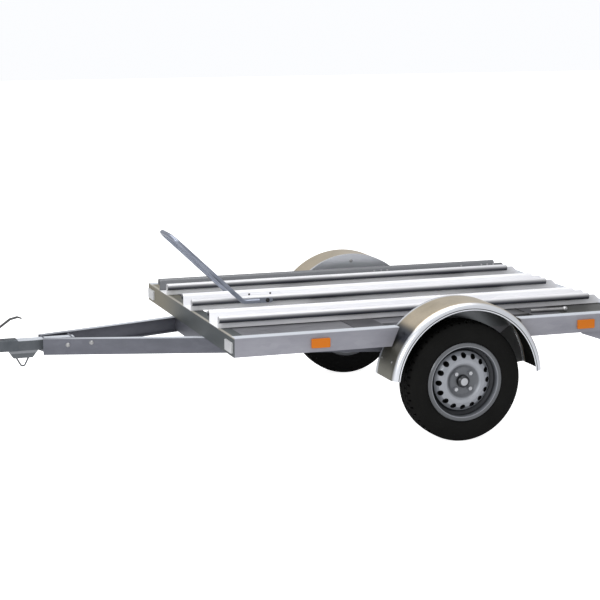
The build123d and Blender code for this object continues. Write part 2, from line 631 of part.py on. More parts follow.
HUB_OUTLINE = (
    (HUB_BACK, SPINDLE_R + RUN_GAP), (HUB_BACK, HUB_R), (DRUM_FRONT - DRUM_WALL, HUB_R),
    (DRUM_FRONT - DRUM_WALL, DRUM_R - DRUM_WALL), (HUB_BACK, DRUM_R - DRUM_WALL), (HUB_BACK, DRUM_R),
    (DRUM_FRONT - DRUM_WALL, DRUM_R), (DRUM_FRONT, DRUM_R - DRUM_WALL), (WHEEL_OFFSET - HUB_FLANGE, HUB_FLANGE_R),
    (WHEEL_OFFSET, HUB_FLANGE_R), (WHEEL_OFFSET, HUB_NOSE_R),
    (WHEEL_OFFSET + HUB_NOSE - 5, HUB_NOSE_R), (WHEEL_OFFSET + HUB_NOSE, HUB_NOSE_R - 6),
    (WHEEL_OFFSET + HUB_NOSE, 0), (WHEEL_OFFSET + HUB_NOSE - HUB_NOSE_WALL, 0),
    (WHEEL_OFFSET + HUB_NOSE - HUB_NOSE_WALL, SPINDLE_R + RUN_GAP),
)


def turned(outline, sign):
    """A closed outline revolved about the wheel's axle on one side of the trailer."""
    plane = Plane(origin=(0, sign * HUB_Y, TYRE_R), x_dir=(0, sign, 0), z_dir=(sign, 0, 0))
    with BuildPart() as body:
        with BuildSketch(plane):
            with BuildLine():
                Polyline(*outline, close=True)
            make_face()
        revolve(axis=Axis((0, 0, TYRE_R), (0, 1, 0)))
    return body.part


for side, sign in SIDES:
    with BuildPart() as tyre:
        add(turned(TYRE_OUTLINE, sign))
    save(tyre, f"tyre_{side}")
    face_plane = Plane(origin=(0, sign * HUB_Y, TYRE_R), x_dir=(1, 0, 0), z_dir=(0, sign, 0))
    with BuildPart() as rim:
        add(turned(BARREL_OUTLINE, sign))
        add(turned(DISC_OUTLINE, sign))
        with BuildSketch(face_plane):
            with PolarLocations(VENT_RING_R, VENT_COUNT):
                Circle(VENT_R)
            with PolarLocations(LUG_PCD / 2, LUG_COUNT, start_angle=45):
                Circle(LUG_HOLE_R)
        extrude(amount=RIM_WIDTH, mode=Mode.SUBTRACT)
    save(rim, f"rim_{side}")
    with BuildPart() as hub:
        add(turned(HUB_OUTLINE, sign))
        with BuildSketch(face_plane.offset(WHEEL_OFFSET - HUB_FLANGE / 2)):
            with PolarLocations(LUG_PCD / 2, LUG_COUNT, start_angle=45):
                Circle(BOLT_R)
        extrude(amount=HUB_FLANGE / 2 + DISC_WALL + BOLT_HEAD / 2)
        with BuildSketch(face_plane.offset(WHEEL_OFFSET + DISC_WALL)):
            with PolarLocations(LUG_PCD / 2, LUG_COUNT, start_angle=45):
                RegularPolygon(BOLT_HEAD_R, 6)
        extrude(amount=BOLT_HEAD)
    save(hub, f"hub_{side}")

# Jockey wheel: clamp, fixed tube, sliding leg, swivelling fork and wheel
with BuildPart() as clamp:
    with BuildSketch(Plane.XY.offset(SHANK_Z - CLAMP_HEIGHT / 2)):
        with Locations((JOCKEY_X, JOCKEY_Y)):
            Circle(JOCKEY_TUBE_R + CLAMP_WALL)
        head_side = -(SHANK_SIZE / 2 + HEAD_WALL)
        with Locations((JOCKEY_X, (JOCKEY_Y + head_side) / 2)):
            Rectangle(2 * CLAMP_PLATE, head_side - JOCKEY_Y)
        with Locations((JOCKEY_X + CLAMP_PLATE, head_side)):
            Rectangle(CLAMP_REACH, CLAMP_PLATE, align=(Align.MAX, Align.MAX))
        with Locations((JOCKEY_X, JOCKEY_Y)):
            Circle(JOCKEY_TUBE_R, mode=Mode.SUBTRACT)
    extrude(amount=CLAMP_HEIGHT)
save(clamp, "jockey_clamp")

with BuildPart() as sleeve:
    with BuildSketch(Plane.XY.offset(JOCKEY_TUBE_BOTTOM)):
        with Locations((JOCKEY_X, JOCKEY_Y)):
            Circle(JOCKEY_TUBE_R)
            Circle(JOCKEY_TUBE_R - JOCKEY_TUBE_WALL, mode=Mode.SUBTRACT)
    extrude(amount=JOCKEY_TUBE_TOP - JOCKEY_TUBE_BOTTOM)
    with BuildSketch(Plane.XY.offset(JOCKEY_TUBE_TOP)):
        with Locations((JOCKEY_X, JOCKEY_Y)):
            Circle(JOCKEY_TUBE_R + JOCKEY_TUBE_WALL)
    extrude(amount=2 * JOCKEY_TUBE_WALL)
save(sleeve, "jockey_sleeve")

CRANK_LINE = ((0, 705), (0, 728), (96, 734), (96, 812))
with BuildPart() as crank:
    with BuildLine() as crank_path:
        FilletPolyline(*((JOCKEY_X + x, JOCKEY_Y, z) for x, z in CRANK_LINE), radius=10)
    with BuildSketch(Plane(origin=crank_path.line @ 0, z_dir=crank_path.line % 0)):
        Circle(CRANK_R)
    sweep()
    with Locations((JOCKEY_X + CRANK_LINE[-1][0], JOCKEY_Y, CRANK_LINE[-1][1])):
        Cylinder(1.8 * CRANK_R, 86, align=(Align.CENTER, Align.CENTER, Align.MAX))
save(crank, "jockey_crank")

LEG_R = JOCKEY_TUBE_R - JOCKEY_TUBE_WALL - JOCKEY_SLIDE_GAP
FORK_PLATE_TOP = JOCKEY_FORK_TOP + JOCKEY_FORK_WALL
with BuildPart() as leg:
    with BuildSketch(Plane.XY.offset(FORK_PLATE_TOP + RUN_GAP)):
        with Locations((JOCKEY_X, JOCKEY_Y)):
            Circle(LEG_R)
    extrude(amount=JOCKEY_LEG_TOP - FORK_PLATE_TOP - RUN_GAP)
    with BuildSketch(Plane.XY.offset(FORK_PLATE_TOP + RUN_GAP)):
        with Locations((JOCKEY_X, JOCKEY_Y)):
            Circle(JOCKEY_KING_R + RUN_GAP)
    extrude(amount=4 * JOCKEY_KING_R, mode=Mode.SUBTRACT)
    with BuildSketch(Plane.XY.offset(FORK_PLATE_TOP + 6 * JOCKEY_KING_R)):
        with Locations((JOCKEY_X, JOCKEY_Y)):
            Circle(LEG_R - JOCKEY_LEG_WALL)
    extrude(amount=JOCKEY_LEG_TOP, mode=Mode.SUBTRACT)
save(leg, "jockey_leg")

FORK_HALF = JOCKEY_WIDTH / 2 + JOCKEY_FORK_GAP
with BuildPart() as fork:
    with BuildSketch(Plane.XY.offset(JOCKEY_FORK_TOP)):
        with Locations((JOCKEY_X, JOCKEY_Y)):
            Circle(FORK_HALF + JOCKEY_FORK_WALL)
    extrude(amount=JOCKEY_FORK_WALL)
    with BuildSketch(Plane.XY.offset(JOCKEY_FORK_TOP)):
        with Locations((JOCKEY_X, JOCKEY_Y)):
            Circle(JOCKEY_KING_R)
    extrude(amount=JOCKEY_FORK_WALL + RUN_GAP + 3 * JOCKEY_KING_R)
    for sign in (1, -1):
        with BuildSketch(Plane.XZ.offset(-(JOCKEY_Y + sign * FORK_HALF))):
            with BuildLine():
                Polyline(
                    (JOCKEY_X - 22, JOCKEY_FORK_TOP + 1), (JOCKEY_X + 24, JOCKEY_FORK_TOP + 1),
                    (JOCKEY_X + JOCKEY_TRAIL + 16, JOCKEY_R + 4), (JOCKEY_X + JOCKEY_TRAIL + 12, JOCKEY_R - 14),
                    (JOCKEY_X + JOCKEY_TRAIL - 12, JOCKEY_R - 14), (JOCKEY_X + JOCKEY_TRAIL - 18, JOCKEY_R + 4),
                    close=True,
                )
            make_face()
        extrude(amount=-sign * JOCKEY_FORK_WALL)
    with Locations(Location((JOCKEY_X + JOCKEY_TRAIL, JOCKEY_Y, JOCKEY_R), (90, 0, 0))):
        Cylinder(JOCKEY_PIN_R, 2 * (FORK_HALF + JOCKEY_FORK_WALL) + 8)
save(fork, "jockey_fork")

HALF_ROLLER = JOCKEY_WIDTH / 2
ROLLER_OUTLINE = (
    (-HALF_ROLLER + 6, JOCKEY_R - 8), (-HALF_ROLLER + 14, JOCKEY_R), (HALF_ROLLER - 14, JOCKEY_R),
    (HALF_ROLLER - 6, JOCKEY_R - 8), (HALF_ROLLER - 3, JOCKEY_BEAD_R), (6, JOCKEY_BEAD_R - 6), (6, 22),
    (HALF_ROLLER, 18), (HALF_ROLLER, JOCKEY_PIN_R + RUN_GAP), (-HALF_ROLLER, JOCKEY_PIN_R + RUN_GAP),
    (-HALF_ROLLER, 18), (-6, 22), (-6, JOCKEY_BEAD_R - 6), (-HALF_ROLLER + 3, JOCKEY_BEAD_R),
)
with BuildPart() as roller:
    with BuildSketch(Plane(origin=(JOCKEY_X + JOCKEY_TRAIL, JOCKEY_Y, JOCKEY_R), x_dir=(0, 1, 0),
                           z_dir=(1, 0, 0))):
        with BuildLine():
            Polyline(*ROLLER_OUTLINE, close=True)
        make_face()
    revolve(axis=Axis((JOCKEY_X + JOCKEY_TRAIL, 0, JOCKEY_R), (0, 1, 0)))
save(roller, "jockey_roller")

# Rear lamp bar with its lamps, triangles and blank number plate
BAR_X = FRAME_REAR - LAMP_BAR_WALL
with BuildPart() as bar:
    with BuildSketch(Plane.XZ):
        with Locations((FRAME_REAR, LAMP_BAR_BOTTOM)):
            Rectangle(LAMP_BAR_WALL, LAMP_BAR_TOP - LAMP_BAR_BOTTOM, align=(Align.MAX, Align.MIN))
        with Locations((FRAME_REAR - LAMP_BAR_WALL, LAMP_BAR_BOTTOM)):
            Rectangle(25, LAMP_BAR_WALL, align=(Align.MIN, Align.MIN))
    extrude(amount=LAMP_BAR_HALF, both=True)
    for side, sign in SIDES:
        with BuildSketch(Plane.XZ.offset(-sign * (LAMP_BAR_HALF - LAMP_BAR_WALL))):
            with BuildLine():
                Polyline(
                    (FRAME_REAR, SIDE_BOTTOM), (FRAME_REAR + GUSSET_LENGTH, SIDE_BOTTOM),
                    (FRAME_REAR + GUSSET_LENGTH, SIDE_BOTTOM - GUSSET_TOE),
                    (FRAME_REAR + 2 * GUSSET_TOE, LAMP_BAR_BOTTOM), (FRAME_REAR, LAMP_BAR_BOTTOM), close=True,
                )
            make_face()
        extrude(amount=-sign * LAMP_BAR_WALL)
save(bar, "lamp_bar")

with BuildPart() as lamps:
    for side, sign in SIDES:
        with BuildSketch(Plane.YZ.offset(BAR_X)):
            with Locations((sign * LAMP_Y, LAMP_Z)):
                RectangleRounded(LAMP_WIDTH, LAMP_HEIGHT, 12)
        extrude(amount=-LAMP_DEPTH)
save(lamps, "tail_lamps")

with BuildPart() as triangles:
    for side, sign in SIDES:
        with BuildSketch(Plane.YZ.offset(BAR_X)):
            with Locations((sign * TRIANGLE_Y, LAMP_Z)):
                Triangle(a=TRIANGLE_SIDE, b=TRIANGLE_SIDE, c=TRIANGLE_SIDE)
        extrude(amount=-TRIANGLE_WALL)
save(triangles, "rear_triangles")

with BuildPart() as plate:
    with BuildSketch(Plane.YZ.offset(BAR_X)):
        with Locations((0, LAMP_Z)):
            RectangleRounded(PLATE_WIDTH, PLATE_HEIGHT, 8)
    extrude(amount=-PLATE_WALL)
save(plate, "number_plate")

with BuildPart() as side_reflectors:
    for side, sign in SIDES:
        with BuildSketch(Plane.XZ.offset(-sign * HALF_WIDTH)):
            for x in REFLECTOR_X:
                with Locations((x, REFLECTOR_Z)):
                    RectangleRounded(REFLECTOR_LENGTH, REFLECTOR_HEIGHT, 4)
        extrude(amount=-sign * REFLECTOR_WALL)
save(side_reflectors, "side_reflectors")

with BuildPart() as front_reflectors:
    for side, sign in SIDES:
        with BuildSketch(Plane.YZ.offset(FRAME_FRONT)):
            with Locations((sign * FRONT_REFLECTOR_Y, REFLECTOR_Z)):
                RectangleRounded(FRONT_REFLECTOR_WIDTH, FRONT_REFLECTOR_HEIGHT, 4)
        extrude(amount=REFLECTOR_WALL)
save(front_reflectors, "front_reflectors")
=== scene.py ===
"""Motorcycle trailer: finishes with painted light and shade, tyre tread, bolts, guard cheeks, dark plate lips
that stand for the shade behind the rims' vents, stage, lights and camera.

Metres, in the frame's own axes: +X forward to the coupling, +Y to the trailer's left, +Z up.
"""

import math

import bmesh
import bpy
from mathutils import Matrix, Vector


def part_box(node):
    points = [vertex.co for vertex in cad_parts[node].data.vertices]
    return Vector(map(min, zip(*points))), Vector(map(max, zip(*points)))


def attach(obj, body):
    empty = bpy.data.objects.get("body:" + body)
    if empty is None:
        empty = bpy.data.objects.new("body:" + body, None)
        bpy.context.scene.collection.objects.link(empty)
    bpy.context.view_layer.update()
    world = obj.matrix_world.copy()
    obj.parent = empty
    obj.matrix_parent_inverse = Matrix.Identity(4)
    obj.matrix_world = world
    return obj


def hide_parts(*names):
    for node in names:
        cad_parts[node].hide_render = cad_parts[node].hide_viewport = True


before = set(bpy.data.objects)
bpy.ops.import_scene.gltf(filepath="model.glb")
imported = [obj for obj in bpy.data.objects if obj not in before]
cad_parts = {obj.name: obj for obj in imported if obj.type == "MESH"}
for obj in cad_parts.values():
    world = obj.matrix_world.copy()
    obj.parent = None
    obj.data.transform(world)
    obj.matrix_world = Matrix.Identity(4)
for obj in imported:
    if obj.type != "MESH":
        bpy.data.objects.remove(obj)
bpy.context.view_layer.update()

SIDES = (("left", 1), ("right", -1))


# Places read from the frame

def node_box(name):
    """Lowest and highest corner of a CAD node, as vectors."""
    low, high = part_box(name)
    return Vector(low), Vector(high)


def node_centre(name):
    low, high = node_box(name)
    return (low + high) / 2


def node_top(name):
    return node_box(name)[1].z


WHEEL_CENTRE = {side: node_centre(f"tyre_{side}") for side, _ in SIDES}
AXLE_X = WHEEL_CENTRE["left"].x
WHEEL_Z = WHEEL_CENTRE["left"].z
AXLE_POINT = Vector((AXLE_X, 0, WHEEL_Z))
TYRE_R = (node_top("tyre_left") - node_box("tyre_left")[0].z) / 2
HUB_NOSE = 0.024
HUB_FACE = node_box("hub_left")[1].y - HUB_NOSE
RAIL_BOTTOM = node_box("side_rail_front_left")[0].z
RAIL_TOP = node_top("side_rail_front_left")
CROSS_FRONT = node_box("front_crossmember")[1].x
BEAM_TOP = node_top("drawbar_beam_left")
SHANK_TOP = node_top("coupling_shank")
REST_TOP = node_top("drawbar_rest")
CHANNEL_TOP = node_top("wheel_channel_left")
CHANNEL_SPACING = node_centre("wheel_channel_left").y
RIGHT_CHANNEL_Y = node_centre("wheel_channel_right").y
GUARD_LOW, GUARD_HIGH = node_box("mudguard_left")
GUARD_INNER = GUARD_LOW.y
GUARD_OUTER = GUARD_HIGH.y
GUARD_HALF = (GUARD_OUTER - GUARD_INNER) / 2
GUARD_MIDDLE = (GUARD_OUTER + GUARD_INNER) / 2
GUARD_R = GUARD_HIGH.z - WHEEL_Z


# Finishes

def new_finish(name):
    """An empty node material with its Principled shader."""
    material = bpy.data.materials.new(name)
    material.use_nodes = True
    shader = material.node_tree.nodes["Principled BSDF"]
    return material, material.node_tree.nodes, material.node_tree.links, shader


def stretched_coords(nodes, links, stretch):
    """Object coordinates, scaled so that a pattern runs along one axis."""
    coords = nodes.new("ShaderNodeTexCoord")
    mapping = nodes.new("ShaderNodeMapping")
    mapping.inputs["Scale"].default_value = stretch
    links.new(coords.outputs["Object"], mapping.inputs["Vector"])
    return mapping.outputs["Vector"]


def noise(nodes, links, vector, scale, detail=3.0, rough=0.5):
    texture = nodes.new("ShaderNodeTexNoise")
    texture.inputs["Scale"].default_value = scale
    texture.inputs["Detail"].default_value = detail
    texture.inputs["Roughness"].default_value = rough
    links.new(vector, texture.inputs["Vector"])
    return texture.outputs["Fac"]


def ramp(nodes, links, factor, stops):
    """A colour ramp over (position, colour) stops."""
    node = nodes.new("ShaderNodeValToRGB")
    elements = node.color_ramp.elements
    while len(elements) < len(stops):
        elements.new(0.5)
    for element, (position, colour) in zip(elements, stops):
        element.position = position
        element.color = (*colour, 1)
    links.new(factor, node.inputs["Fac"])
    return node.outputs["Color"]


def mixed(nodes, links, first, second, factor, blend="MIX"):
    """Two colours mixed by a number or a socket."""
    node = nodes.new("ShaderNodeMix")
    node.data_type = "RGBA"
    node.blend_type = blend
    links.new(first, node.inputs["A"])
    links.new(second, node.inputs["B"])
    if isinstance(factor, float):
        node.inputs["Factor"].default_value = factor
    else:
        links.new(factor, node.inputs["Factor"])
    return node.outputs["Result"]


def bumped(nodes, links, shader, height, strength, distance):
    node = nodes.new("ShaderNodeBump")
    node.inputs["Strength"].default_value = strength
    node.inputs["Distance"].default_value = distance
    links.new(height, node.inputs["Height"])
    links.new(node.outputs["Normal"], shader.inputs["Normal"])


def as_rough(nodes, links, shader, factor, low, high):
    """Roughness that wanders between two values."""
    node = nodes.new("ShaderNodeMapRange")
    node.inputs["To Min"].default_value = low
    node.inputs["To Max"].default_value = high
    links.new(factor, node.inputs["Value"])
    links.new(node.outputs["Result"], shader.inputs["Roughness"])


SPANGLE_DARK = (0.84, 0.84, 0.86)
SPANGLE_PALE = (1, 1, 1)
SPANGLE_SHARE = 0.6


def galvanised(name, pale, dark, metallic=0.55, rough=(0.36, 0.55), spangle=55.0, stretch=(1, 1, 1)):
    """Hot-dip zinc: cloudy grey with faint crystal spangle, stretched along a rolled section."""
    material, nodes, links, shader = new_finish(name)
    vector = stretched_coords(nodes, links, stretch)
    clouds = noise(nodes, links, vector, scale=7.0, detail=5.0, rough=0.6)
    grain = noise(nodes, links, vector, scale=160.0, detail=2.0)
    crystals = nodes.new("ShaderNodeTexVoronoi")
    crystals.inputs["Scale"].default_value = spangle
    links.new(vector, crystals.inputs["Vector"])
    cloudy = ramp(nodes, links, clouds, ((0.32, dark), (0.68, pale)))
    crystal = ramp(nodes, links, crystals.outputs["Color"], ((0.0, SPANGLE_DARK), (1.0, SPANGLE_PALE)))
    colour = mixed(nodes, links, cloudy, crystal, SPANGLE_SHARE, "MULTIPLY")
    links.new(colour, shader.inputs["Base Color"])
    shader.inputs["Metallic"].default_value = metallic
    as_rough(nodes, links, shader, clouds, *rough)
    bumped(nodes, links, shader, grain, strength=0.12, distance=0.0006)
    return material


def along(nodes, links, axis, low, high):
    """A mask that rises from 0 to 1 along one of the object's axes."""
    return stepped(nodes, links, split_coords(nodes, links)[axis], low, high)


def outward(nodes, links, low, high):
    """The same away from the trailer's middle plane, on both sides."""
    return stepped(nodes, links, off_centre(nodes, links), low, high)


def off_centre(nodes, links):
    """Distance from the trailer's middle plane."""
    return maths(nodes, links, "ABSOLUTE", split_coords(nodes, links)["Y"])


def stepped(nodes, links, value, low, high):
    """0 up to one value and 1 from another, or the reverse where low is the larger."""
    node = nodes.new("ShaderNodeMapRange")
    node.interpolation_type = "SMOOTHSTEP"
    node.inputs["From Min"].default_value = low
    node.inputs["From Max"].default_value = high
    links.new(value, node.inputs["Value"])
    return node.outputs["Result"]


def maths(nodes, links, operation, *values):
    """One Math node over numbers and sockets."""
    node = nodes.new("ShaderNodeMath")
    node.operation = operation
    for entry, value in zip(node.inputs, values):
        if isinstance(value, (int, float)):
            entry.default_value = value
        else:
            links.new(value, entry)
    return node.outputs["Value"]


def hypotenuse(nodes, links, first, second):
    """The distance that two distances at right angles make."""
    square = maths(nodes, links, "MULTIPLY", first, first)
    return maths(nodes, links, "SQRT", maths(nodes, links, "MULTIPLY_ADD", second, second, square))


def tinted(material, colour, mask_of, matt=False):
    """Mix a finish's colour towards another where a mask is 1, and with matt take its shine away there."""
    nodes, links = material.node_tree.nodes, material.node_tree.links
    shader = nodes["Principled BSDF"]
    entry = shader.inputs["Base Color"]
    mask = mask_of(nodes, links)
    tint = nodes.new("ShaderNodeRGB")
    tint.outputs["Color"].default_value = (*colour, 1)
    links.new(mixed(nodes, links, entry.links[0].from_socket, tint.outputs["Color"], mask), entry)
    if matt:
        rest = maths(nodes, links, "SUBTRACT", 1.0, mask)
        for name in ("Metallic", "Specular IOR Level"):
            shine = shader.inputs[name].default_value
            links.new(maths(nodes, links, "MULTIPLY", rest, shine), shader.inputs[name])


def split_coords(nodes, links):
    """The three Object coordinates as numbers, by axis name."""
    coords = nodes.new("ShaderNodeTexCoord")
    split = nodes.new("ShaderNodeSeparateXYZ")
    links.new(coords.outputs["Object"], split.inputs["Vector"])
    return split.outputs


def product(nodes, links, *masks):
    """1 where all the masks are."""
    result = masks[0]
    for mask in masks[1:]:
        result = maths(nodes, links, "MULTIPLY", result, mask)
    return result


def band(nodes, links, value, low, high, soft):
    """1 between two values, with soft ends."""
    return product(nodes, links, stepped(nodes, links, value, low, low + soft),
                   stepped(nodes, links, value, high, high - soft))


def painted(name, colour, shade, rough=0.4, metallic=0.0, coat=0.0):
    """Sprayed paint with slight dust in its low places."""
    material, nodes, links, shader = new_finish(name)
    vector = stretched_coords(nodes, links, (1, 1, 1))
    clouds = noise(nodes, links, vector, scale=11.0, detail=4.0)
    peel = noise(nodes, links, vector, scale=420.0, detail=1.0)
    links.new(ramp(nodes, links, clouds, ((0.3, shade), (0.7, colour))), shader.inputs["Base Color"])
    shader.inputs["Metallic"].default_value = metallic
    shader.inputs["Coat Weight"].default_value = coat
    as_rough(nodes, links, shader, clouds, rough, rough + 0.12)
    bumped(nodes, links, shader, peel, strength=0.05, distance=0.0003)
    return material


def rubber(name, colour, dust, rough=0.72):
    """Black rubber, dusty in patches."""
    material, nodes, links, shader = new_finish(name)
    vector = stretched_coords(nodes, links, (1, 1, 1))
    clouds = noise(nodes, links, vector, scale=9.0, detail=5.0, rough=0.65)
    fine = noise(nodes, links, vector, scale=300.0, detail=2.0)
    links.new(ramp(nodes, links, clouds, ((0.35, colour), (0.75, dust))), shader.inputs["Base Color"])
    as_rough(nodes, links, shader, clouds, rough - 0.12, rough + 0.1)
    bumped(nodes, links, shader, fine, strength=0.1, distance=0.0005)
    return material


def prism_plastic(name, colour, deep):
    """A moulded reflector: clear skin over rows of small prisms."""
    material, nodes, links, shader = new_finish(name)
    vector = stretched_coords(nodes, links, (1, 1, 1))
    prisms = nodes.new("ShaderNodeTexVoronoi")
    prisms.feature = "F1"
    prisms.distance = "CHEBYCHEV"
    prisms.inputs["Scale"].default_value = 210.0
    prisms.inputs["Randomness"].default_value = 0.0
    links.new(vector, prisms.inputs["Vector"])
    links.new(ramp(nodes, links, prisms.outputs["Distance"], ((0.1, colour), (0.6, deep))),
              shader.inputs["Base Color"])
    shader.inputs["Roughness"].default_value = 0.3
    shader.inputs["Specular IOR Level"].default_value = 0.25
    shader.inputs["Coat Weight"].default_value = 0.15
    bumped(nodes, links, shader, prisms.outputs["Distance"], strength=0.25, distance=0.0012)
    return material


# Rolled sections carry their pattern along their length
ALONG_X = (0.35, 1, 1)
ALONG_Y = (1, 0.35, 1)
ALONG_CHANNEL = (0.2, 1, 1)
FINISH = {
    "rail_zinc": galvanised("rail_zinc", (0.36, 0.36, 0.40), (0.27, 0.27, 0.305), 0.45, (0.42, 0.6),
                            stretch=ALONG_X),
    # The front crossmember's zinc is dark as painted shade on its front face
    "cross_zinc_painted_light": galvanised("cross_zinc_painted_light", (0.10, 0.112, 0.116), (0.07, 0.079, 0.081), 0.45, (0.42, 0.6),
                             stretch=ALONG_Y),
    "deck_zinc": galvanised("deck_zinc", (0.27, 0.27, 0.288), (0.195, 0.195, 0.213), 0.5, (0.36, 0.5)),
    "wide_zinc": galvanised("wide_zinc", (0.115, 0.115, 0.125), (0.075, 0.075, 0.085), 0.5, (0.36, 0.5),
                            stretch=ALONG_Y),
    # The channels' zinc is near-white as painted light on their bright tops and inner walls; painted shade is
    # mixed in below
    "channel_zinc_painted_light": galvanised("channel_zinc_painted_light", (0.95, 0.95, 0.96), (0.89, 0.89, 0.91), 0.2, (0.34, 0.46),
                               20.0, stretch=ALONG_CHANNEL),
    "guard_zinc": galvanised("guard_zinc", (0.61, 0.52, 0.385), (0.48, 0.405, 0.285), 0.8, (0.24, 0.36),
                             90.0),
    # The lower cheeks' zinc is near-black as painted shade inside the mudguards
    "cheek_zinc_painted_shade": galvanised("cheek_zinc_painted_shade", (0.055, 0.057, 0.057), (0.04, 0.041, 0.041), 0.2, (0.5, 0.6),
                             90.0),
    "beam_zinc": galvanised("beam_zinc", (0.17, 0.175, 0.205), (0.115, 0.12, 0.14), 0.5, (0.4, 0.58),
                            stretch=ALONG_X),
    "hoop_zinc": galvanised("hoop_zinc", (0.38, 0.41, 0.48), (0.24, 0.26, 0.32), 0.8, (0.26, 0.4), 120.0),
    "bolt_zinc": galvanised("bolt_zinc", (0.50, 0.50, 0.50), (0.32, 0.32, 0.32), 0.85, (0.25, 0.4), 300.0),
    "hub_zinc": galvanised("hub_zinc", (0.60, 0.61, 0.63), (0.42, 0.43, 0.45), 0.8, (0.25, 0.4), 300.0),
    "shank_zinc": galvanised("shank_zinc", (0.13, 0.14, 0.155), (0.09, 0.10, 0.11), 0.5, (0.4, 0.58)),
    "dull_zinc": galvanised("dull_zinc", (0.17, 0.18, 0.19), (0.10, 0.11, 0.12), 0.6, (0.4, 0.55), 300.0),
    "rim_silver": painted("rim_silver", (0.38, 0.395, 0.425), (0.30, 0.315, 0.345), 0.34, 0.5, 0.2),
    "drum_black": painted("drum_black", (0.016, 0.016, 0.017), (0.01, 0.01, 0.01), 0.6),
    "cast_black": painted("cast_black", (0.11, 0.12, 0.135), (0.06, 0.07, 0.08), 0.5, 0.3),
    "plate_white": painted("plate_white", (0.80, 0.80, 0.78), (0.74, 0.74, 0.72), 0.4),
    "tyre_rubber": rubber("tyre_rubber", (0.0045, 0.0045, 0.0042), (0.008, 0.008, 0.0075), 0.8),
    "jockey_rubber": rubber("jockey_rubber", (0.02, 0.02, 0.021), (0.05, 0.05, 0.05)),
    "grip_black": rubber("grip_black", (0.02, 0.02, 0.02), (0.04, 0.04, 0.04), 0.5),
    "amber": prism_plastic("amber", (0.68, 0.20, 0.0), (0.54, 0.12, 0.0)),
    "red": prism_plastic("red", (0.68, 0.025, 0.02), (0.40, 0.01, 0.01)),
    "clear": prism_plastic("clear", (0.62, 0.62, 0.63), (0.48, 0.49, 0.50)),
}
FINISH["tyre_rubber"].node_tree.nodes["Principled BSDF"].inputs["Specular IOR Level"].default_value = 0.12

# Painted light and shade: the metal's colour shifts over each piece, darker where it lies in shade or
# reflects dark ground, lighter where it catches light or reflects bright sky.
# Each pair says where a mask is 0 and where it is 1, or between which two values a band lies.
SHADE = (0.022, 0.022, 0.021)
# Beige of a painted reflection on the crossmember's right end
BEIGE_REFLECTION = (0.21, 0.192, 0.145)
# Pale of the highlights painted along the top skins of rails, beams and shank
PALE_HIGHLIGHT = (0.62, 0.65, 0.70)
CROSS_FAR_Y = (0.0, -0.55)
CROSS_EDGE_Z = (RAIL_TOP - 0.005, RAIL_TOP - 0.002)
CROSS_EDGE_X = (CROSS_FRONT - 0.014, CROSS_FRONT - 0.006)
REST_EDGE_Z = (REST_TOP - 0.015, REST_TOP - 0.012)
SHANK_EDGE_Z = (SHANK_TOP - 0.006, SHANK_TOP - 0.003)
RAIL_EDGE_Z = (RAIL_TOP - 0.004, RAIL_TOP - 0.001)
BEAM_EDGE_Z = (BEAM_TOP - 0.004, BEAM_TOP - 0.001)
DECK_REAR_X = (AXLE_X - 0.30, AXLE_X - 0.42)
GUARD_SHOULDER = 0.032
GUARD_FRONT_X = (AXLE_X + 0.255, AXLE_X + 0.300)
GUARD_FRONT_Z = (WHEEL_Z + 0.32, WHEEL_Z + 0.24)
GUARD_BAND_X = (AXLE_X + 0.245, AXLE_X + 0.285)
GUARD_BAND_RISE = (0.185, 0.300)
GUARD_BAND_SOFT = 0.035
SHOULDER_SIDE = (GUARD_HALF - 0.026, GUARD_HALF - 0.008)
CHEEK_FACE_Y = (GUARD_INNER + 0.004, GUARD_INNER + 0.002)
CHEEK_EDGE_R = (GUARD_R - 0.034, GUARD_R - 0.044)
CHEEK_BACK_Y = (GUARD_INNER + 0.0008, GUARD_INNER + 0.0050)
CHEEK_BACK_SOFT = 0.0006
INNER_SKIN_DEPTH = (0.0010, 0.0016)
PAST_CHEEK_Y = (GUARD_INNER + 0.003, GUARD_INNER + 0.005)
BEAD_FOLD_R = (0.3455, 0.3505)
BEAD_FOLD_SOFT = 0.0012
BEAD_FOLD_Y = (GUARD_OUTER - 0.008, GUARD_OUTER - 0.004)
FLANK_SIDE = (0.070, 0.086)
FLANK_Z = (CHANNEL_TOP + 0.006, CHANNEL_TOP - 0.024)
FOOT_SIDE = (0.0662, 0.0668)
FOOT_Z = (CHANNEL_TOP - 0.028, CHANNEL_TOP - 0.032)
FAR_WALL_Y = (RIGHT_CHANNEL_Y - 0.050, RIGHT_CHANNEL_Y - 0.060)
RIM_WELL_R = (0.1375, 0.1640)
RIM_WELL_SOFT = 0.0040
RIM_FLANGE_R = (0.1640, 0.1690)
RIM_HAT_R = (0.083, 0.073)
VENTS = 16
VENT_RING_R = 0.121
VENT_EDGE_R = (0.0140, 0.0118)
HUB_BACK_Y = (HUB_FACE + 0.001, HUB_FACE - 0.001)
HUB_SEAT_R = (0.016, 0.034)
HUB_SEAT_SOFT = 0.003


def from_axle(nodes, links):
    """How far a point lies ahead of the wheels' axle line and above it."""
    place = split_coords(nodes, links)
    return (maths(nodes, links, "SUBTRACT", place["X"], AXLE_X),
            maths(nodes, links, "SUBTRACT", place["Z"], WHEEL_Z))


def wheel_radius(nodes, links):
    """Distance from the wheels' axle line."""
    return hypotenuse(nodes, links, *from_axle(nodes, links))


def guard_side(nodes, links):
    """Distance from the nearer mudguard's middle plane."""
    across = maths(nodes, links, "SUBTRACT", off_centre(nodes, links), GUARD_MIDDLE)
    return maths(nodes, links, "ABSOLUTE", across)


